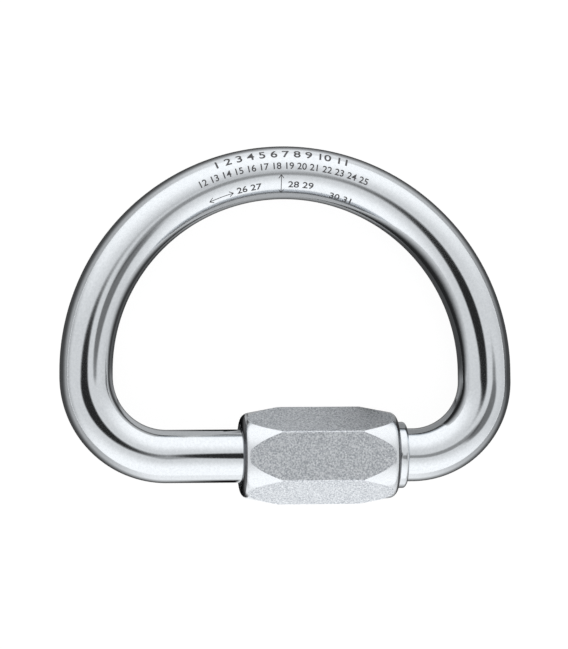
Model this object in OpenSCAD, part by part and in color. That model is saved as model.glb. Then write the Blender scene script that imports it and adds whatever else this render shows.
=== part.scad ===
// Chain quick link of D shape: a round bar bent into a D, with its two threaded ends
// in the straight side, and a hexagonal sleeve nut that screws over both ends and closes the gate.
// X runs along the sleeve and Y towards the crown. The link lies flat, on the sleeve's lower flat
// and on the crown. The origin is on that flat, below the sleeve's axis, on the middle line of the D.

/* [Bar] */
// Diameter of the round bar
bar_d = 10; // [8:0.5:12]
// Inside radius of the bend beside the long end
long_bend_r = 10; // [7:0.5:12]
// Inside radius of the bend beside the short end
short_bend_r = 9; // [6:0.5:12]
// Length of the straight leg between the larger bend and the crown
leg_l = 0.8; // [0.5:0.1:20]

/* [Threaded ends] */
// Pitch of the thread
thread_pitch = 1.75; // [1:0.25:2]
// Play between the two threads, on the radius
thread_play = 0.05; // [0.03:0.01:0.15]
// Length of the short threaded end, beside the collar
short_thread_l = 7; // [5:0.5:10]
// Length of the long threaded end, which keeps the sleeve when the gate is open
long_thread_l = 9.4; // [8:0.1:16]
// Gap between the tips of the two ends
gate_gap = 10.5; // [8:0.5:14]
// Chamfer at both tips
tip_chamfer = 0.8; // [0.3:0.1:1.5]
// Length of the taper from the bar up to the long thread
upset_taper_l = 1.5; // [0.5:0.1:3]
// Length of plain bar between the collar and its bend
neck_l = 1.2; // [0.4:0.1:4]
// Width of the collar that stops the sleeve
collar_w = 1.8; // [1.2:0.1:3]
// Length of the collar's bevel, which runs down to the bar
collar_bevel_l = 0.8; // [0.4:0.1:1.1]
// Height of the collar above the thread
collar_step = 0.25; // [0.15:0.05:0.3]

/* [Sleeve nut] */
// Wall between the thread and each of the six flats
sleeve_wall = 2; // [1.7:0.1:4]
// Play of the sleeve's thread crests on the bar, on the radius
bar_play = 0.05; // [0.02:0.01:0.2]
// Depth of the plain counterbore in the open end
mouth_l = 2.8; // [0.5:0.1:4]
// Play of the counterbore round the thread, on the radius
mouth_play = 0.1; // [0.05:0.05:0.2]
// Length of the turned cone at each end, measured along a corner
cone_l = 7.5; // [5:0.5:9]
// Angle between the cone and the axis
cone_angle = 10.5; // [8:0.5:12]
// Radius that rounds the rim of each end
end_round = 1.7; // [0.6:0.1:1.9]

/* [Hidden] */
$fn = 96;

// Thread of 60 degrees. The sleeve's crests clear the bar, and the mean diameter stands for the thread.
thread_h = thread_pitch * sqrt(3) / 2;
crest_r = bar_d / 2 + bar_play;
thread_r = crest_r + thread_h * 5 / 8;
mean_r = crest_r + thread_h / 4;
stub_r = mean_r - thread_play;
bore_r = mean_r + thread_play;
mouth_r = thread_r + mouth_play;
collar_r = thread_r + collar_step;

// The sleeve covers both ends and the gap. It opens by backing off until its end is level with the long tip.
sleeve_l = short_thread_l + gate_gap + long_thread_l + mouth_l;
sleeve_af = 2 * (thread_r + sleeve_wall);
sleeve_travel = short_thread_l + gate_gap;

// Middle line of the D. The straight side has room for the opened sleeve, whose counterbore
// may reach over the start of the bend, with half of the bar's play left at the first thread.
long_bend_mid_r = long_bend_r + bar_d / 2;
short_bend_mid_r = short_bend_r + bar_d / 2;
bend_reach = mouth_l + sqrt(pow(long_bend_mid_r, 2) - pow(long_bend_mid_r - bar_play / 2, 2));
straight_l = neck_l + collar_w + sleeve_l + sleeve_travel - bend_reach;
crown_mid_r = (long_bend_mid_r + straight_l + short_bend_mid_r) / 2;
crown_y = max(long_bend_mid_r, short_bend_mid_r) + leg_l;
crown_top = crown_y + crown_mid_r;

// Places along the sleeve's axis
long_bend_x = long_bend_mid_r - crown_mid_r;
short_bend_x = crown_mid_r - short_bend_mid_r;
seat_x = short_bend_x - neck_l - collar_w;
long_tip_x = seat_x - sleeve_travel;

// The crown's bar comes down to the floor that the sleeve's flat lies on.
axis_z = sleeve_af / 2;
bar_tilt = asin((axis_z - bar_d / 2) / crown_top);

// Rim of the sleeve's ends: the rounding touches the end face at rim_r and the cone at its own tangent point.
corner_r = sleeve_af / 2 / cos(30);
cone_end_r = corner_r - cone_l * tan(cone_angle);
rim_r = cone_end_r + end_round * (tan(cone_angle) - 1 / cos(cone_angle));
cone_mid_r = cone_end_r + sleeve_l / 2 * tan(cone_angle);
cut = 1;

// Round section of the bar, swept about an upright axis
module bar_arc(mid_r, sweep) {
    rotate_extrude(angle = sweep) translate([mid_r, 0]) circle(d = bar_d);
}

// Turns a profile of radius and length into a round piece along +X
module turned_along_x() {
    rotate([0, 90, 0]) rotate_extrude() children();
}

// Bend on the right-hand side, and the leg from there up to the crown
module bend_and_leg(mid_r) {
    translate([crown_mid_r - mid_r, mid_r, 0]) rotate([0, 0, -90]) bar_arc(mid_r, 90);
    translate([crown_mid_r, mid_r, 0]) rotate([-90, 0, 0]) cylinder(h = crown_y - mid_r, d = bar_d);
}

// Half-round crown with a leg and a bend on each side, one smooth bar
module bent_bar() {
    translate([0, crown_y, 0]) bar_arc(crown_mid_r, 180);
    bend_and_leg(short_bend_mid_r);
    mirror([1, 0, 0]) bend_and_leg(long_bend_mid_r);
}

// Short end: neck, collar with its bevel, and the thread as far as its chamfered tip
module short_end() {
    seat = neck_l + collar_w;
    tip = seat + short_thread_l;
    translate([short_bend_x, 0, 0]) mirror([1, 0, 0]) turned_along_x() polygon([
        [0, 0], [bar_d / 2, 0], [bar_d / 2, neck_l], [collar_r, neck_l + collar_bevel_l], [collar_r, seat],
        [stub_r, seat], [stub_r, tip - tip_chamfer], [stub_r - tip_chamfer, tip], [0, tip]
    ]);
}

// Long end: plain bar, the taper to the upset thread, and the chamfered tip
module long_end() {
    tip = long_tip_x - long_bend_x;
    thread_start = tip - long_thread_l;
    translate([long_bend_x, 0, 0]) turned_along_x() polygon([
        [0, 0], [bar_d / 2, 0], [bar_d / 2, thread_start - upset_taper_l], [stub_r, thread_start],
        [stub_r, tip - tip_chamfer], [stub_r - tip_chamfer, tip], [0, tip]
    ]);
}

module link_body() {
    color([0.80, 0.81, 0.83]) translate([0, 0, axis_z]) rotate([-bar_tilt, 0, 0]) {
        bent_bar();
        short_end();
        long_end();
    }
}

// Half profile of the turned envelope, from one end to the middle: end face, rounded rim and cone
module rim_profile() {
    polygon([
        [0, 0], [rim_r, 0], [rim_r + end_round * cos(cone_angle), end_round * (1 - sin(cone_angle))],
        [cone_mid_r, sleeve_l / 2], [0, sleeve_l / 2]
    ]);
    translate([rim_r, end_round]) circle(r = end_round);
}

// Threaded bore, with the counterbore in the open end and a countersink in the seated end
module sleeve_bore() {
    sink = thread_r - bore_r;
    turned_along_x() polygon([
        [0, -cut], [mouth_r, -cut], [mouth_r, mouth_l], [bore_r, mouth_l + mouth_r - bore_r],
        [bore_r, sleeve_l - sink], [thread_r + cut, sleeve_l + cut], [0, sleeve_l + cut]
    ]);
}

module sleeve_nut() {
    color([0.62, 0.64, 0.66]) translate([seat_x - sleeve_l, 0, axis_z]) difference() {
        intersection() {
            rotate([0, 90, 0]) rotate([0, 0, 30]) cylinder(h = sleeve_l, r = corner_r, $fn = 6);
            turned_along_x() {
                rim_profile();
                translate([0, sleeve_l]) mirror([0, 1]) rim_profile();
            }
        }
        sleeve_bore();
    }
}

link_body();
sleeve_nut();
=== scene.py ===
import math

import bmesh
import bpy
from mathutils import Matrix, Vector


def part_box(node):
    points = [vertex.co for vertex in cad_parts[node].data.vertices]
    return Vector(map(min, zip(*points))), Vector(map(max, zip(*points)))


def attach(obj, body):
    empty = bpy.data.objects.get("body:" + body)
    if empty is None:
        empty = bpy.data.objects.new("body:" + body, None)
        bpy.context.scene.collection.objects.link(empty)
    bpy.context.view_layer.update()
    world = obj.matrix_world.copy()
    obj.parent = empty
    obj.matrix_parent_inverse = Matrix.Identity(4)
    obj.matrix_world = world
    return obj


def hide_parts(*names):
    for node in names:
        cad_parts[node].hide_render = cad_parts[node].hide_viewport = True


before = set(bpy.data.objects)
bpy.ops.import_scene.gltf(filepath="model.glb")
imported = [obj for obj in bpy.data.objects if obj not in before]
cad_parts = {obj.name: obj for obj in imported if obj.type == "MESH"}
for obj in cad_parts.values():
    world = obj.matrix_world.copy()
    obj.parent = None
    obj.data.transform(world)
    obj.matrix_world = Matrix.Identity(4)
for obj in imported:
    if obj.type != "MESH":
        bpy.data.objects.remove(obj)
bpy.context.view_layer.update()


# The link's bar: one length of 10 mm round steel, bent cold to a D and plated with bright zinc.
# Both ends lie in the straight side. They are upset and threaded, and the short end has a collar,
# upset from the same bar, that the sleeve screws up against.
mm = 0.001
bar_r = 5.0 * mm
long_bend_r = 15.0 * mm
short_bend_r = 14.0 * mm
leg_l = 0.8 * mm
neck_l = 1.2 * mm
collar_w = 1.8 * mm
collar_r = 6.247 * mm
shoulder_l = 0.8 * mm
seat_round = 0.15 * mm
taper_l = 1.5 * mm
short_thread_l = 7.0 * mm
long_thread_l = 9.4 * mm
gate_gap = 10.5 * mm
tip_chamfer = 0.8 * mm

# The 12 mm thread: its pitch line, and how far the bar's thread stays inside it
pitch = 1.75 * mm
pitch_r = 5.429 * mm
thread_r = 5.997 * mm
thread_play = 0.05 * mm
crest_r = thread_r - thread_play
root_r = 4.924 * mm
stub_r = pitch_r - thread_play
flank = math.tan(math.radians(30))
turn_steps = 72
spare_turns = 2

link_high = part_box("link_body")[1]
sleeve_low, sleeve_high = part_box("sleeve_nut")
axis_z = (sleeve_low.z + sleeve_high.z) / 2
seat_x = sleeve_high.x
crown_r = link_high.x - bar_r
crown_y = long_bend_r + leg_l
short_tip_x = seat_x - short_thread_l
long_tip_x = short_tip_x - gate_gap
thread_start_x = long_tip_x - long_thread_l
tilt = math.asin((axis_z - bar_r) / (crown_y + crown_r))
sleeve_axis = Matrix.Translation((0, 0, axis_z))
bar_plane = sleeve_axis @ Matrix.Rotation(-tilt, 4, "X")
across_x = Matrix.Rotation(math.radians(90), 4, "Y")
seam = 1e-7
on_plane = 1e-8


def only(geom, kind):
    """The verts or edges in what a bmesh operator gives back."""
    return [g for g in geom if isinstance(g, kind)]


def drawn(bm, ring, step, size):
    """Draws a ring of edges on by step, and makes the new ring size times as wide."""
    out = bmesh.ops.extrude_edge_only(bm, edges=ring)["geom"]
    verts = only(out, bmesh.types.BMVert)
    bmesh.ops.translate(bm, verts=verts, vec=step)
    middle = sum((v.co for v in verts), Vector()) / len(verts)
    bmesh.ops.scale(bm, verts=verts, vec=(size, size, size), space=Matrix.Translation(-middle))
    return [e for e in only(out, bmesh.types.BMEdge) if all(v in verts for v in e.verts)]


def bent(bm, ring, middle, angle, steps):
    """Bends the bar on from a ring of edges, about an upright axis at middle."""
    geom = ring + list(dict.fromkeys(v for e in ring for v in e.verts))
    out = bmesh.ops.spin(bm, geom=geom, cent=middle, axis=(0, 0, 1), angle=angle, steps=steps)
    return only(out["geom_last"], bmesh.types.BMEdge)


def finished(bm, name, place):
    """Closes a bmesh's seams, turns its faces outwards, puts it in place and makes it an object."""
    bmesh.ops.remove_doubles(bm, verts=bm.verts, dist=seam)
    bmesh.ops.recalc_face_normals(bm, faces=bm.faces)
    bm.transform(place)
    mesh = bpy.data.meshes.new(name)
    bm.to_mesh(mesh)
    bm.free()
    made = bpy.data.objects.new(name, mesh)
    bpy.context.scene.collection.objects.link(made)
    return made


def turned(name, profile):
    """A closed round piece on the sleeve's axis, turned from points of (x, radius)."""
    bm = bmesh.new()
    points = [bm.verts.new((x, 0, r)) for x, r in profile]
    for a, b in zip(points, points[1:]):
        bm.edges.new((a, b))
    bmesh.ops.spin(bm, geom=bm.verts[:] + bm.edges[:], cent=(0, 0, 0), axis=(1, 0, 0),
                   angle=math.tau, steps=2 * turn_steps, use_merge=True)
    return finished(bm, name, sleeve_axis)


def threaded(name, start_x, end_x, middle_r, top_r, bottom_r):
    """A closed rod with a right-hand thread on the sleeve's axis, in step with every other rod."""
    top = pitch / 4 - (top_r - middle_r) * flank
    bottom = pitch / 4 - (middle_r - bottom_r) * flank
    before = math.ceil((seat_x - start_x) / pitch) + spare_turns
    turns = math.ceil((end_x - start_x) / pitch) + 2 * spare_turns
    first = seat_x - before * pitch
    bm = bmesh.new()
    shape = ((-pitch / 2, bottom_r), (bottom - pitch / 2, bottom_r), (-top, top_r), (top, top_r),
             (pitch / 2 - bottom, bottom_r), (pitch / 2, bottom_r))
    points = [bm.verts.new((first + x, 0, r)) for x, r in shape]
    for a, b in zip(points, points[1:]):
        bm.edges.new((a, b))
    bmesh.ops.spin(bm, geom=bm.verts[:] + bm.edges[:], cent=(0, 0, 0), axis=(1, 0, 0),
                   dvec=(pitch / turn_steps, 0, 0), angle=math.tau * turns, steps=turn_steps * turns)
    bmesh.ops.remove_doubles(bm, verts=bm.verts, dist=seam)
    for x, outwards in ((start_x, -1), (end_x, 1)):
        cut = bmesh.ops.bisect_plane(bm, geom=bm.verts[:] + bm.edges[:] + bm.faces[:], dist=on_plane,
                                     plane_co=(x, 0, 0), plane_no=(outwards, 0, 0), clear_outer=True)
        bmesh.ops.edgeloop_fill(bm, edges=only(cut["geom_cut"], bmesh.types.BMEdge))
    return finished(bm, name, sleeve_axis)


def combined(piece, tool, operation):
    """Joins a tool to a piece, cuts it away or keeps what both share, and drops the tool."""
    change = piece.modifiers.new("shape", "BOOLEAN")
    change.operation = operation
    change.solver = "EXACT"
    change.material_mode = "TRANSFER"
    change.object = tool
    depsgraph = bpy.context.evaluated_depsgraph_get()
    mesh = bpy.data.meshes.new_from_object(piece.evaluated_get(depsgraph))
    piece.modifiers.clear()
    piece.data = mesh
    bpy.data.objects.remove(tool)


def shaded(piece, crease, flat_area):
    """Smooth shading, crisp at creases, round large flat faces and where two finishes meet."""
    bm = bmesh.new()
    bm.from_mesh(piece.data)
    bmesh.ops.remove_doubles(bm, verts=bm.verts, dist=seam)
    for face in bm.faces:
        face.smooth = True
    for edge in bm.edges:
        faces = edge.link_faces
        slots = {f.material_index for f in faces}
        meets = 0 in slots and len(slots) > 1
        flats = sum(f.calc_area() > flat_area for f in faces)
        edge.smooth = not (meets or flats == 1 or edge.calc_face_angle(0) > crease)
    bm.to_mesh(piece.data)
    bm.free()


def new_node(tree, kind, **settings):
    """A shader node with its settings, and its unlinked inputs given by name or number."""
    made = tree.nodes.new(kind)
    for key, value in settings.pop("inputs", {}).items():
        made.inputs[key].default_value = value
    for key, value in settings.items():
        setattr(made, key, value)
    return made


# Fine grain that drawing, tumbling and plating leave in the steel: a height and a mottled shade
grain = bpy.data.node_groups.new("grain", "ShaderNodeTree")
grain.interface.new_socket("Size", in_out="INPUT", socket_type="NodeSocketFloat")
grain.interface.new_socket("Height", in_out="OUTPUT", socket_type="NodeSocketFloat")
grain.interface.new_socket("Shade", in_out="OUTPUT", socket_type="NodeSocketFloat")
grain_in = new_node(grain, "NodeGroupInput")
grain_out = new_node(grain, "NodeGroupOutput")
grain_place = new_node(grain, "ShaderNodeTexCoord")
grain_noise = new_node(grain, "ShaderNodeTexNoise", inputs={"Detail": 3.0, "Roughness": 0.6})
grain_shade = new_node(grain, "ShaderNodeMapRange", inputs={"From Min": 0.36, "From Max": 0.64})
grain.links.new(grain_place.outputs["Object"], grain_noise.inputs["Vector"])
grain.links.new(grain_in.outputs["Size"], grain_noise.inputs["Scale"])
grain.links.new(grain_noise.outputs["Fac"], grain_shade.inputs["Value"])
grain.links.new(grain_noise.outputs["Fac"], grain_out.inputs["Height"])
grain.links.new(grain_shade.outputs["Result"], grain_out.inputs["Shade"])


def zinc(name, dark, light, roughness, grain_size, grain_depth):
    """Zinc plate on steel, mottled between two shades, with its grain as fine bumps."""
    made = bpy.data.materials.new(name)
    made.use_nodes = True
    tree = made.node_tree
    shader = tree.nodes["Principled BSDF"]
    shader.inputs["Metallic"].default_value = 1.0
    shader.inputs["Roughness"].default_value = roughness
    texture = new_node(tree, "ShaderNodeGroup", node_tree=grain)
    texture.inputs["Size"].default_value = 1 / grain_size
    colour = new_node(tree, "ShaderNodeMix", data_type="RGBA")
    colour.inputs["A"].default_value = (*dark, 1)
    colour.inputs["B"].default_value = (*light, 1)
    bump = new_node(tree, "ShaderNodeBump", inputs={"Strength": 1.0, "Distance": grain_depth})
    tree.links.new(texture.outputs["Shade"], colour.inputs["Factor"])
    tree.links.new(colour.outputs["Result"], shader.inputs["Base Color"])
    tree.links.new(texture.outputs["Height"], bump.inputs["Height"])
    tree.links.new(bump.outputs["Normal"], shader.inputs["Normal"])
    return made


# The bar is drawn from the start of the long thread round the D to the collar's seat.
bar_sides = 96
bend_steps = 64
crown_steps = 192
round_steps = 8
bm = bmesh.new()
bmesh.ops.create_circle(bm, cap_ends=False, segments=bar_sides, radius=stub_r,
                        matrix=Matrix.Translation((thread_start_x, 0, 0)) @ across_x)
ring = bm.edges[:]
bmesh.ops.edgeloop_fill(bm, edges=ring)
ring = drawn(bm, ring, (-taper_l, 0, 0), bar_r / stub_r)
straight_l = thread_start_x - taper_l + crown_r - long_bend_r
ring = drawn(bm, ring, (-straight_l, 0, 0), 1)
ring = bent(bm, ring, (long_bend_r - crown_r, long_bend_r, 0), -math.pi / 2, bend_steps)
ring = drawn(bm, ring, (0, leg_l, 0), 1)
ring = bent(bm, ring, (0, crown_y, 0), -math.pi, crown_steps)
ring = drawn(bm, ring, (0, short_bend_r - crown_y, 0), 1)
ring = bent(bm, ring, (crown_r - short_bend_r, short_bend_r, 0), -math.pi / 2, bend_steps)
ring = drawn(bm, ring, (-neck_l, 0, 0), 1)
collar = [(0, bar_r)]
for n in range(1, round_steps + 1):
    turn = math.pi / 2 * n / round_steps
    collar.append((shoulder_l * (1 - math.cos(turn)), bar_r + (collar_r - bar_r) * math.sin(turn)))
for n in range(round_steps + 1):
    turn = math.pi / 2 * n / round_steps
    collar.append((collar_w - seat_round * (1 - math.sin(turn)),
                   collar_r - seat_round * (1 - math.cos(turn))))
for (x, r), (next_x, next_r) in zip(collar, collar[1:]):
    ring = drawn(bm, ring, (x - next_x, 0, 0), next_r / r)
bmesh.ops.edgeloop_fill(bm, edges=ring)
link_bar = finished(bm, "link_bar", bar_plane)

# Each threaded end is cut to its chamfered tip and sunk a little into the bar that it belongs to.
sunk = 0.5 * mm
reach = crest_r - stub_r + tip_chamfer
ends = (("short_end", short_tip_x, seat_x + sunk, short_tip_x, 1),
        ("long_end", thread_start_x - sunk, long_tip_x, long_tip_x, -1))
for name, start_x, end_x, tip_x, inwards in ends:
    rod = threaded(name, start_x, end_x, stub_r, crest_r, root_r)
    far_x = tip_x + inwards * 2 * long_thread_l
    chamfer = turned("chamfer", ((tip_x, 0), (tip_x, crest_r - reach),
                                 (tip_x + inwards * (reach + sunk), crest_r + sunk),
                                 (far_x, crest_r + sunk), (far_x, 0)))
    combined(rod, chamfer, "INTERSECT")
    combined(link_bar, rod, "UNION")
shaded(link_bar, math.radians(30), math.inf)
link_bar.data.materials.clear()

# The crown was pressed to its round and marked, so it is a little duller than the legs.
bar_rough = 0.09
crown_rough = 0.14
dulled_from_y = 30 * mm
dulled_to_y = 48 * mm
bright_zinc = zinc("bright_zinc", (0.735, 0.768, 0.8), (0.795, 0.828, 0.86), bar_rough,
                   0.5 * mm, 0.002 * mm)
tree = bright_zinc.node_tree
bar_place = new_node(tree, "ShaderNodeTexCoord")
bar_axes = new_node(tree, "ShaderNodeSeparateXYZ")
dulled = new_node(tree, "ShaderNodeMapRange", inputs={"From Min": dulled_from_y, "From Max": dulled_to_y,
                                                      "To Min": bar_rough, "To Max": crown_rough})
tree.links.new(bar_place.outputs["Object"], bar_axes.inputs["Vector"])
tree.links.new(bar_axes.outputs["Y"], dulled.inputs["Value"])
tree.links.new(dulled.outputs["Result"], tree.nodes["Principled BSDF"].inputs["Roughness"])
link_bar.data.materials.append(bright_zinc)
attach(link_bar, "link")
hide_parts("link_body")


# The sleeve nut: a length of 16 mm hexagon bar, drilled and tapped right through, with a cone and a
# rounded rim turned on each end. It is plated with zinc, matt on the tumbled flats, bright on the
# cones, and a little rougher and coloured dark on the end faces. It screws back along the long end to open
# the gate.
sleeve_l = sleeve_high.x - sleeve_low.x
flat_r = (sleeve_high.z - sleeve_low.z) / 2
corner_r = flat_r / math.cos(math.radians(30))
cone_angle = math.radians(10.5)
cone_l = 7.5 * mm
rim_round = 1.7 * mm
rim_angle = math.radians(60)
rim_steps = 14
edge_break = 0.22 * mm
edge_steps = 6
end_slope = math.sin(math.radians(42))
mouth_l = 2.8 * mm
mouth_r = 6.097 * mm
bar_clear_r = 5.05 * mm
cutter_end_r = bar_clear_r - 0.3 * mm
flat_area = 20 * mm * mm
over = 1 * mm

bm = bmesh.new()
bmesh.ops.create_circle(bm, cap_ends=True, segments=6, radius=corner_r,
                        matrix=Matrix.Translation((sleeve_low.x - over, 0, 0)) @ across_x)
side = bmesh.ops.extrude_face_region(bm, geom=bm.faces[:])["geom"]
bmesh.ops.translate(bm, verts=only(side, bmesh.types.BMVert), vec=(sleeve_l + 2 * over, 0, 0))
long_edges = [e for e in bm.edges if abs(e.verts[0].co.x - e.verts[1].co.x) > over]
bmesh.ops.bevel(bm, geom=long_edges, offset=edge_break, segments=edge_steps,
                profile=0.5, affect="EDGES", material=-1)
hex_sleeve = finished(bm, "hex_sleeve", sleeve_axis)
tumbled_zinc = zinc("tumbled_zinc", (0.43, 0.46, 0.5), (0.92, 0.95, 0.98), 0.38, 0.3 * mm, 0.09 * mm)
hex_sleeve.data.materials.append(tumbled_zinc)

# Both ends are turned by one round envelope, whose end faces are coloured dark and a little rougher.
cone_end_r = corner_r - cone_l * math.tan(cone_angle)
cone_mid_r = cone_end_r + sleeve_l / 2 * math.tan(cone_angle)
envelope = turned("turned_ends", ((sleeve_low.x, 0), (sleeve_low.x, cone_end_r),
                                  (sleeve_low.x + sleeve_l / 2, cone_mid_r),
                                  (seat_x, cone_end_r), (seat_x, 0)))
bm = bmesh.new()
bm.from_mesh(envelope.data)
rims = [e for e in bm.edges if e.calc_face_angle(0) > rim_angle]
rim_offset = rim_round * math.tan(math.radians(45) - cone_angle / 2)
bmesh.ops.bevel(bm, geom=rims, offset=rim_offset, segments=rim_steps,
                profile=0.5, affect="EDGES", material=-1)
bm.normal_update()
for face in bm.faces:
    face.material_index = int(abs(face.normal.x) > end_slope)
bm.to_mesh(envelope.data)
bm.free()
turned_zinc = zinc("turned_zinc", (0.76, 0.79, 0.82), (0.81, 0.84, 0.87), 0.2, 0.4 * mm, 0.002 * mm)
end_zinc = zinc("end_zinc", (0.14, 0.145, 0.155), (0.19, 0.195, 0.205), 0.25, 0.4 * mm, 0.002 * mm)
envelope.data.materials.append(turned_zinc)
envelope.data.materials.append(end_zinc)

# The bore: the tapped thread, a plain mouth at the open end and a countersink at the seated end.
# The cutters for the last two end inside the bore, clear of the thread's crests.
tap = threaded("tap", sleeve_low.x - over, seat_x + over,
               pitch_r + thread_play, thread_r + thread_play, bar_clear_r)
mouth_x = sleeve_low.x + mouth_l
mouth_end_x = mouth_x + mouth_r - cutter_end_r
mouth = turned("mouth", ((sleeve_low.x - over, 0), (sleeve_low.x - over, mouth_r), (mouth_x, mouth_r),
                         (mouth_end_x, cutter_end_r), (mouth_end_x, 0)))
sink_x = seat_x + cutter_end_r - thread_r
sink = turned("sink", ((sink_x, 0), (sink_x, cutter_end_r),
                       (seat_x + over, thread_r + over), (seat_x + over, 0)))
tapped_zinc = zinc("tapped_zinc", (0.50, 0.51, 0.52), (0.60, 0.61, 0.62), 0.35, 0.3 * mm, 0.004 * mm)
combined(hex_sleeve, envelope, "INTERSECT")
for cutter in (tap, mouth, sink):
    cutter.data.materials.append(tapped_zinc)
    combined(hex_sleeve, cutter, "DIFFERENCE")
shaded(hex_sleeve, math.radians(12), flat_area)
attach(hex_sleeve, "sleeve")
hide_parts("sleeve_nut")


# The marks on the crown: rows of small dark figures and two arrows, rolled into the bar's outside and
# blackened. Here they only count upwards. They are a skin on the bar, wrapped round it row by row.
mark_depth = 0.02 * mm
mark_strip = 0.25 * mm
figure_weight = 0.015
figure_steps = 6
figure_seam = 1e-5
arrow_line = 0.07 * mm
head_slope = 0.7
mark_grey = bpy.data.materials.new("mark_grey")
mark_grey.use_nodes = True
blackening = mark_grey.node_tree.nodes["Principled BSDF"]
blackening.inputs["Base Color"].default_value = (0.08, 0.08, 0.085, 1)
blackening.inputs["Roughness"].default_value = 0.6


def wrapped(bm, name, along, turn):
    """Cuts a flat mark into strips and wraps it on the crown, from along past its middle."""
    low = Vector([min(v.co[k] for v in bm.verts) for k in range(3)])
    high = Vector([max(v.co[k] for v in bm.verts) for k in range(3)])
    for k, normal in ((0, (1, 0, 0)), (1, (0, 1, 0))):
        for n in range(1, math.ceil((high[k] - low[k]) / mark_strip)):
            bmesh.ops.bisect_plane(bm, geom=bm.verts[:] + bm.edges[:] + bm.faces[:], dist=on_plane,
                                   plane_co=[low[i] + n * mark_strip for i in range(3)], plane_no=normal)
    row_r = crown_r + bar_r * math.sin(turn)
    for v in bm.verts:
        round_bar = turn + v.co.y / bar_r
        round_crown = (along + v.co.x) / row_r
        out = bar_r + v.co.z
        from_crown = crown_r + out * math.sin(round_bar)
        v.co = (from_crown * math.sin(round_crown), crown_y + from_crown * math.cos(round_crown),
                out * math.cos(round_bar))
    made = finished(bm, name, bar_plane)
    made.data.materials.append(mark_grey)
    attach(made, "link")
    return made


def counted(first, last):
    """The numbers from first to last, with a space between each two."""
    return " ".join(str(n) for n in range(first, last + 1))


def figures(name, text, start, end, high, turn):
    """A row of figures on the crown, from start to end and so high, turned so far round the bar."""
    curve = bpy.data.curves.new(name, "FONT")
    curve.body = text
    curve.extrude = mark_depth
    curve.offset = figure_weight
    curve.resolution_u = figure_steps
    shape = bpy.data.objects.new("row", curve)
    bpy.context.scene.collection.objects.link(shape)
    depsgraph = bpy.context.evaluated_depsgraph_get()
    flat = bpy.data.meshes.new_from_object(shape.evaluated_get(depsgraph))
    bpy.data.objects.remove(shape)
    bm = bmesh.new()
    bm.from_mesh(flat)
    bmesh.ops.remove_doubles(bm, verts=bm.verts, dist=figure_seam)
    xs = [v.co.x for v in bm.verts]
    ys = [v.co.y for v in bm.verts]
    wide = (end - start) / (max(xs) - min(xs))
    tall = high / (max(ys) - min(ys))
    bmesh.ops.translate(bm, verts=bm.verts, vec=(-min(xs), -(min(ys) + max(ys)) / 2, 0))
    bmesh.ops.scale(bm, verts=bm.verts, vec=(wide, tall, 1))
    return wrapped(bm, name, start, turn)


def arrow(name, along, turn, length, head, angle):
    """A thin arrow with a head at both ends."""
    half = length / 2
    bm = bmesh.new()
    lines = [((-half, 0), (half, 0))]
    for tip, into in ((-half, head), (half, -head)):
        lines += [((tip, 0), (tip + into, head * head_slope)), ((tip, 0), (tip + into, -head * head_slope))]
    for (x0, y0), (x1, y1) in lines:
        line_l = math.hypot(x1 - x0, y1 - y0) + arrow_line
        middle = Matrix.Translation(((x0 + x1) / 2, (y0 + y1) / 2, 0))
        way = Matrix.Rotation(math.atan2(y1 - y0, x1 - x0), 4, "Z")
        size = Matrix.Diagonal((line_l, 2 * arrow_line, 2 * mark_depth, 1))
        bmesh.ops.create_cube(bm, size=1, matrix=middle @ way @ size)
    bmesh.ops.rotate(bm, verts=bm.verts, cent=(0, 0, 0), matrix=Matrix.Rotation(angle, 3, "Z"))
    return wrapped(bm, name, along, turn)


rows = (("marks_outer", counted(1, 11), -13.6, 11.8, 1.75, 39),
        ("marks_middle", counted(12, 25), -17.0, 15.8, 1.35, 9),
        ("marks_inner_left", counted(26, 27), -9.5, -4.75, 1.3, -33),
        ("marks_inner_right", counted(28, 29), 0.3, 5.1, 1.3, -32.5),
        ("marks_inner_low", counted(30, 31), 8.3, 12.5, 1.3, -46))
for name, text, start, end, high, turn in rows:
    figures(name, text, start * mm, end * mm, high * mm, math.radians(turn))
arrow("arrow_along", -12.6 * mm, math.radians(-35), 4.8 * mm, 0.75 * mm, 0)
arrow("arrow_across", -1.0 * mm, math.radians(-32), 3.75 * mm, 0.65 * mm, math.pi / 2)


# The floor: a wide pale board that the link lies on. Part of its white is its own glow, so that
# the link's shadow on it stays soft.
floor_half = 3.0
floor_z = -0.1 * mm
floor_glow = 1.12
glow_share = 0.82
bm = bmesh.new()
bmesh.ops.create_grid(bm, x_segments=1, y_segments=1, size=floor_half)
floor = finished(bm, "floor", Matrix.Translation((0, 0, floor_z)))
floor_white = bpy.data.materials.new("floor_white")
floor_white.use_nodes = True
tree = floor_white.node_tree
board = tree.nodes["Principled BSDF"]
board.inputs["Base Color"].default_value = (0.9, 0.9, 0.9, 1)
board.inputs["Roughness"].default_value = 0.9
board.inputs["Specular IOR Level"].default_value = 0.0
glow = new_node(tree, "ShaderNodeEmission", inputs={"Strength": floor_glow})
ray = new_node(tree, "ShaderNodeLightPath")
glossy = new_node(tree, "ShaderNodeMath", operation="MAXIMUM")
seen = new_node(tree, "ShaderNodeMath", operation="MAXIMUM")
share = new_node(tree, "ShaderNodeMath", operation="MULTIPLY", inputs={1: glow_share})
both = new_node(tree, "ShaderNodeMixShader")
tree.links.new(ray.outputs["Is Glossy Ray"], glossy.inputs[0])
tree.links.new(ray.outputs["Is Transmission Ray"], glossy.inputs[1])
tree.links.new(ray.outputs["Is Camera Ray"], seen.inputs[0])
tree.links.new(glossy.outputs[0], seen.inputs[1])
tree.links.new(seen.outputs[0], share.inputs[0])
tree.links.new(share.outputs[0], both.inputs["Fac"])
tree.links.new(board.outputs["BSDF"], both.inputs[1])
tree.links.new(glow.outputs["Emission"], both.inputs[2])
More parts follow.
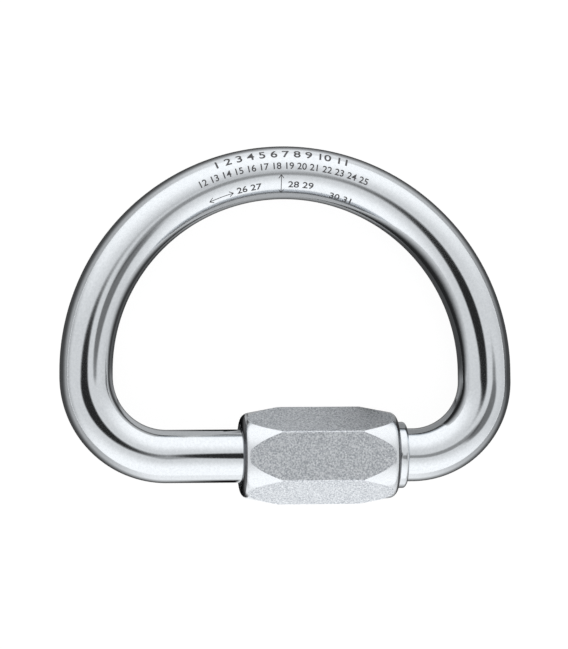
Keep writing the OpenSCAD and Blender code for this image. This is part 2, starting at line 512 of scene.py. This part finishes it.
tree.links.new(both.outputs["Shader"], tree.nodes["Material Output"].inputs["Surface"])
floor.data.materials.append(floor_white)


# The camera looks down on the link, a little from the left and from below, through a long lens.
# Its place is set by a point in the middle of the eye and by the pixel where the photo has it.
photo_w = 568
photo_h = 649
sensor = 36.0
camera_far = 0.7
camera_left = math.radians(6.6)
camera_low = math.radians(1.2)
camera_roll = math.radians(0.31)
sight_end = 20
px_per_m = 5294
aim = Vector((0, 25 * mm, 6 * mm))
aim_px = Vector((285.3, 323.1))
back = Vector((-math.sin(camera_left) * math.cos(camera_low), -math.sin(camera_low),
               math.cos(camera_left) * math.cos(camera_low)))
level_up = (Vector((0, 1, 0)) - back.y * back).normalized()
level_right = level_up.cross(back)
right = level_right * math.cos(camera_roll) - level_up * math.sin(camera_roll)
up = level_right * math.sin(camera_roll) + level_up * math.cos(camera_roll)
camera = bpy.data.objects.new("camera", bpy.data.cameras.new("camera"))
camera.data.sensor_width = sensor
camera.data.lens = px_per_m * camera_far * sensor / photo_h
camera.data.clip_end = sight_end
aside = right * (aim_px.x - photo_w / 2) + up * (photo_h / 2 - aim_px.y)
camera.matrix_world = (Matrix.Translation(aim + back * camera_far - aside / px_per_m)
                       @ Matrix((right, up, back)).transposed().to_4x4())
bpy.context.scene.collection.objects.link(camera)
bpy.context.scene.camera = camera
bpy.context.scene.view_settings.view_transform = "Standard"


# Glowing cards, each painted with its own greys, that the bright steel mirrors at its edges as painted
# reflections: one flat on the floor, dark beside the legs and white above and below the link, one bent to a
# low ring in the eye, and two strips along the straight side that narrow to a point at both ends. They are
# only seen in the steel.
def soft(value, start, end):
    """A soft step from 0 to 1 as a value goes from start to end."""
    t = min(max((value - start) / (end - start), 0), 1)
    return t * t * (3 - 2 * t)


def card(name, steps, laid):
    """A glowing card cut into small squares, where laid gives the place and the painted grey it glows with
    at each corner.
    """
    bm = bmesh.new()
    bmesh.ops.create_grid(bm, x_segments=steps, y_segments=steps, size=1)
    glow = bm.verts.layers.float.new("glow")
    for v in bm.verts:
        v.co, v[glow] = laid(v.co.x, v.co.y)
    made = finished(bm, name, Matrix.Identity(4))
    card_glow = bpy.data.materials.new(name)
    card_glow.use_nodes = True
    tree = card_glow.node_tree
    # The card's painted greys set how brightly it glows, as a painted reflection in the steel.
    greys = new_node(tree, "ShaderNodeAttribute", attribute_name="glow")
    light = new_node(tree, "ShaderNodeEmission")
    tree.links.new(greys.outputs["Fac"], light.inputs["Strength"])
    tree.links.new(light.outputs["Emission"], tree.nodes["Material Output"].inputs["Surface"])
    made.data.materials.append(card_glow)
    made.visible_camera = False
    made.visible_diffuse = False
    made.visible_shadow = False


# The floor card: its greys inside the eye, and outside the link beside the legs and round the bends,
# and how far its painted shadow reaches beside the bar and the sleeve's open end
card_half = 300 * mm
card_fine = 0.25
card_z = 0.05 * mm
card_steps = 200
card_white = 1.04
card_dark = 0.07
eye_grey = 0.5
eye_right = 0.04
eye_left = 0.1
eye_side = (11 * mm, 20 * mm)
eye_foot = (11 * mm, 18 * mm)
# How far the painted shadow reaches from the bar inside the eye
eye_shadow_l = 8 * mm
leg_right, bend_right = 0.12, 0.66
leg_left, bend_left = 0.42, 0.5
white_power = 10
# How far the painted shadow reaches from the bar beside the legs and at the bends, and beside the sleeve's
# open end
leg_shadow_l = 45 * mm
end_shadow_l = 20 * mm
mouth_shade = (4 * mm, 14 * mm)


def floor_card(u, v):
    """The floor card, with smaller squares in its middle, its grey beside and inside the link, and painted
    shadow close to the bar and beside the sleeve's open end.
    """
    x = card_half * u * (card_fine + (1 - card_fine) * u * u)
    y = crown_y + card_half * v * (card_fine + (1 - card_fine) * v * v)
    if y > crown_y:
        way = Vector((x, y - crown_y))
        out = way.length - crown_r
    else:
        way = Vector((x - min(max(x, long_bend_r - crown_r), crown_r - short_bend_r), y - long_bend_r))
        out = way.length - long_bend_r
    along = abs(way.y) / max(way.length, mm)
    if out < 0:
        dark = eye_right if x > 0 else eye_left
        grey = eye_grey + (dark - eye_grey) * soft(abs(x), *eye_side) * soft(y, *eye_foot)
        # Painted shadow: the card darkens towards the bar inside the eye.
        grey *= min(max(-out - bar_r, 0) / eye_shadow_l, 1)
    elif sleeve_low.x < x < seat_x and y < 0:
        grey = card_white
    else:
        leg, bend = (leg_right, bend_right) if x > 0 else (leg_left, bend_left)
        grey = leg * (1 - along) + bend * along + (card_white - bend) * along ** white_power
        # Painted shadow: the card darkens towards the bar outside the link.
        grey *= soft(out - bar_r, 0, leg_shadow_l + (end_shadow_l - leg_shadow_l) * along)
    grey = max(grey, card_dark)
    # Painted shadow: the card darkens beside the sleeve's open end.
    if x < sleeve_low.x:
        grey *= soft(math.hypot(sleeve_low.x - x, max(abs(y) - corner_r, 0)), *mouth_shade)
    return (x, y, card_z), grey


# The ring in the eye: its half axes, and how dark its foot and how high it is on each side
ring_half = Vector((19 * mm, 16 * mm))
ring_y = 25 * mm
ring_right = (0.02, 17 * mm)
ring_left = (0.05, 12 * mm)
brim_grey = 0.7
brim_edge = (0.35, 1.05)
ring_steps = 96


def eye_card(u, v):
    """The ring in the eye, highest beside the legs, dark at its foot and light at its brim."""
    turn = math.pi * u
    rise = (v + 1) / 2
    dark, high = ring_right if abs(turn) < math.pi / 2 else ring_left
    place = (ring_half.x * math.cos(turn), ring_y + ring_half.y * math.sin(turn),
             rise * high * math.cos(turn) ** 2)
    return place, dark + (brim_grey - dark) * soft(rise, *brim_edge)


strip_y = 12.5 * mm
strip_high = 9.5 * mm
strip_fade = 0.6
strip_steps = 48


def strip(name, middle, half, grey):
    """An upright strip along the straight side, narrower and darker towards both of its ends."""
    def laid(u, v):
        left = max(1 - u * u, 0)
        z = strip_high * (v + 1) / 2 * math.sqrt(left)
        return (middle + half * u, strip_y, z), grey * soft(left, 0, strip_fade)

    card(name, strip_steps, laid)


card("floor_card", card_steps, floor_card)
card("eye_card", ring_steps, eye_card)
strip("left_strip", -18 * mm, 10.5 * mm, eye_grey)
strip("right_strip", 22 * mm, 7 * mm, 0.3)


# The light is a white cloth tent round the link, brightest above and below it. In its wall are a dark
# opening for the camera and a grey stand to the right of that, with a paler grey between the two.
tent = bpy.data.worlds.new("light_tent")
tent.use_nodes = True
tree = tent.node_tree
look = new_node(tree, "ShaderNodeTexCoord")


def measure(operation, first, second):
    """A sum on two values, each one a number or the output of a node."""
    made = new_node(tree, "ShaderNodeMath", operation=operation)
    for n, value in enumerate((first, second)):
        if isinstance(value, (int, float)):
            made.inputs[n].default_value = value
        else:
            tree.links.new(value, made.inputs[n])
    return made.outputs[0]


def towards(direction):
    """How far the look turns towards a direction: 1 straight at it, 0 square to it."""
    made = new_node(tree, "ShaderNodeVectorMath", operation="DOT_PRODUCT", inputs={1: direction})
    tree.links.new(look.outputs["Generated"], made.inputs[0])
    return made.outputs["Value"]


def step(value, start, end, low, high):
    """A soft step from low to high as a value goes from start to end."""
    made = new_node(tree, "ShaderNodeMapRange", interpolation_type="SMOOTHSTEP",
                    inputs={"From Min": start, "From Max": end, "To Min": low, "To Max": high})
    tree.links.new(value, made.inputs["Value"])
    return made.outputs["Result"]


def aimed(to_right, to_top):
    """The direction so many degrees right of the camera and above it, as seen from the link."""
    across, above = math.radians(to_right), math.radians(to_top)
    level = right * math.sin(across) + back * math.cos(across)
    return level * math.cos(above) + up * math.sin(above)


def patch(middle, half_wide, half_high, lean, edge, level):
    """A soft-edged oval on the tent's wall, leaning so far: level in its middle and 1 outside it."""
    lean = math.radians(lean)
    squares = []
    for axis, half in ((right * math.cos(lean) + up * math.sin(lean), half_wide),
                       (up * math.cos(lean) - right * math.sin(lean), half_high)):
        away = measure("SUBTRACT", towards(axis), axis.dot(middle))
        share = measure("DIVIDE", away, math.sin(math.radians(half)))
        squares.append(measure("MULTIPLY", share, share))
    return step(measure("ADD", *squares), *edge, level, 1)


side_level = 0.78
end_level = 1.2
end_edge = (0.25, 0.85)
left_foot = 0.42
right_foot = 0.72
foot_edge = (0, 0.45)
foot_sides = (-0.9, 0.9)
foot = step(towards(back), *foot_edge, 0, side_level)
foot_level = step(towards(right), *foot_sides, left_foot, right_foot)
tree.links.new(foot_level, foot.node.inputs["To Min"])
wall = step(measure("ABSOLUTE", towards(up), 0), *end_edge, 0, end_level)
tree.links.new(foot, wall.node.inputs["To Min"])
opening = patch(aimed(-6, 1.5), half_wide=18.5, half_high=12.5, lean=14, edge=(0.62, 1.35), level=0.03)
beside = patch(aimed(21, -6), half_wide=14, half_high=8, lean=0, edge=(0.2, 1.3), level=0.4)
stand = patch(aimed(41, -4), half_wide=10.5, half_high=14, lean=0, edge=(0.5, 1.3), level=0.25)
brightness = wall
for shade in (opening, beside, stand):
    brightness = measure("MULTIPLY", brightness, shade)
tree.links.new(brightness, tree.nodes["Background"].inputs["Strength"])
tree.nodes["Background"].inputs["Color"].default_value = (1, 1, 1, 1)
bpy.context.scene.world = tent
